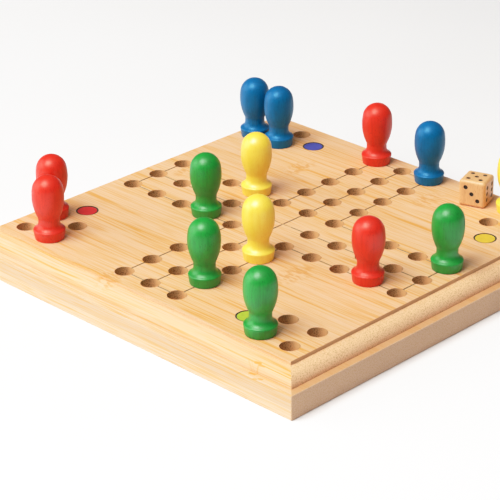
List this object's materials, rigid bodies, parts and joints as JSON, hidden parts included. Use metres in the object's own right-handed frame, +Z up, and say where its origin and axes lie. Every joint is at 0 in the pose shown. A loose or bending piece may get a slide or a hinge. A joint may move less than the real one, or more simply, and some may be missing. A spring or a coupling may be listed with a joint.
{
  "type": "ludo board game",
  "caption": "Square bamboo ludo board with moulded edge, peg holes in a cross, engraved lines and colour dots, with turned lacquered pegs that lift out of the holes and a die.",
  "frame": {"origin": "centre of the board's underside, on the surface that it stands on", "axes": "+Z up out of the playing face, +X from the near corner to the right corner, +Y from the near corner to the left corner, along the grain"},
  "size_m": [0.19, 0.19, 0.0463],
  "materials": {
    "bamboo": "sanded and clear lacquered",
    "die_wood": "sanded",
    "pip_paint": "matt paint",
    "green_lacquer": "dyed and lacquered",
    "green_dot_paint": "matt paint",
    "red_lacquer": "dyed and lacquered",
    "red_dot_paint": "matt paint",
    "yellow_lacquer": "dyed and lacquered",
    "yellow_dot_paint": "matt paint",
    "blue_lacquer": "dyed and lacquered",
    "blue_dot_paint": "matt paint"
  },
  "bodies": {
    "board": {"board": "bamboo", "green_dot": "green_dot_paint", "red_dot": "red_dot_paint", "yellow_dot": "yellow_dot_paint", "blue_dot": "blue_dot_paint"},
    "green_peg_1": {"green_peg_1": "green_lacquer"},
    "green_peg_2": {"green_peg_2": "green_lacquer"},
    "green_peg_3": {"green_peg_3": "green_lacquer"},
    "green_peg_4": {"green_peg_4": "green_lacquer"},
    "red_peg_1": {"red_peg_1": "red_lacquer"},
    "red_peg_2": {"red_peg_2": "red_lacquer"},
    "red_peg_3": {"red_peg_3": "red_lacquer"},
    "red_peg_4": {"red_peg_4": "red_lacquer"},
    "yellow_peg_1": {"yellow_peg_1": "yellow_lacquer"},
    "yellow_peg_2": {"yellow_peg_2": "yellow_lacquer"},
    "yellow_peg_3": {"yellow_peg_3": "yellow_lacquer"},
    "yellow_peg_4": {"yellow_peg_4": "yellow_lacquer"},
    "blue_peg_1": {"blue_peg_1": "blue_lacquer"},
    "blue_peg_2": {"blue_peg_2": "blue_lacquer"},
    "blue_peg_3": {"blue_peg_3": "blue_lacquer"},
    "blue_peg_4": {"blue_peg_4": "blue_lacquer"},
    "die": {"die": "die_wood", "die_pips": "pip_paint"}
  },
  "joints": [
    {"name": "green_peg_1_lift", "type": "slide", "parent": "board", "child": "green_peg_1", "axis": [0, 0, 1], "range_m": [0, 0.04]},
    {"name": "green_peg_2_lift", "type": "slide", "parent": "board", "child": "green_peg_2", "axis": [0, 0, 1], "range_m": [0, 0.04]},
    {"name": "green_peg_3_lift", "type": "slide", "parent": "board", "child": "green_peg_3", "axis": [0, 0, 1], "range_m": [0, 0.04]},
    {"name": "green_peg_4_lift", "type": "slide", "parent": "board", "child": "green_peg_4", "axis": [0, 0, 1], "range_m": [0, 0.04]},
    {"name": "red_peg_1_lift", "type": "slide", "parent": "board", "child": "red_peg_1", "axis": [0, 0, 1], "range_m": [0, 0.04]},
    {"name": "red_peg_2_lift", "type": "slide", "parent": "board", "child": "red_peg_2", "axis": [0, 0, 1], "range_m": [0, 0.04]},
    {"name": "red_peg_3_lift", "type": "slide", "parent": "board", "child": "red_peg_3", "axis": [0, 0, 1], "range_m": [0, 0.04]},
    {"name": "red_peg_4_lift", "type": "slide", "parent": "board", "child": "red_peg_4", "axis": [0, 0, 1], "range_m": [0, 0.04]},
    {"name": "yellow_peg_1_lift", "type": "slide", "parent": "board", "child": "yellow_peg_1", "axis": [0, 0, 1], "range_m": [0, 0.04]},
    {"name": "yellow_peg_2_lift", "type": "slide", "parent": "board", "child": "yellow_peg_2", "axis": [0, 0, 1], "range_m": [0, 0.04]},
    {"name": "yellow_peg_3_lift", "type": "slide", "parent": "board", "child": "yellow_peg_3", "axis": [0, 0, 1], "range_m": [0, 0.04]},
    {"name": "yellow_peg_4_lift", "type": "slide", "parent": "board", "child": "yellow_peg_4", "axis": [0, 0, 1], "range_m": [0, 0.04]},
    {"name": "blue_peg_1_lift", "type": "slide", "parent": "board", "child": "blue_peg_1", "axis": [0, 0, 1], "range_m": [0, 0.04]},
    {"name": "blue_peg_2_lift", "type": "slide", "parent": "board", "child": "blue_peg_2", "axis": [0, 0, 1], "range_m": [0, 0.04]},
    {"name": "blue_peg_3_lift", "type": "slide", "parent": "board", "child": "blue_peg_3", "axis": [0, 0, 1], "range_m": [0, 0.04]},
    {"name": "blue_peg_4_lift", "type": "slide", "parent": "board", "child": "blue_peg_4", "axis": [0, 0, 1], "range_m": [0, 0.04]},
    {"name": "die_lift", "type": "slide", "parent": "board", "child": "die", "axis": [0, 0, 1], "range_m": [0, 0.04]}
  ]
}
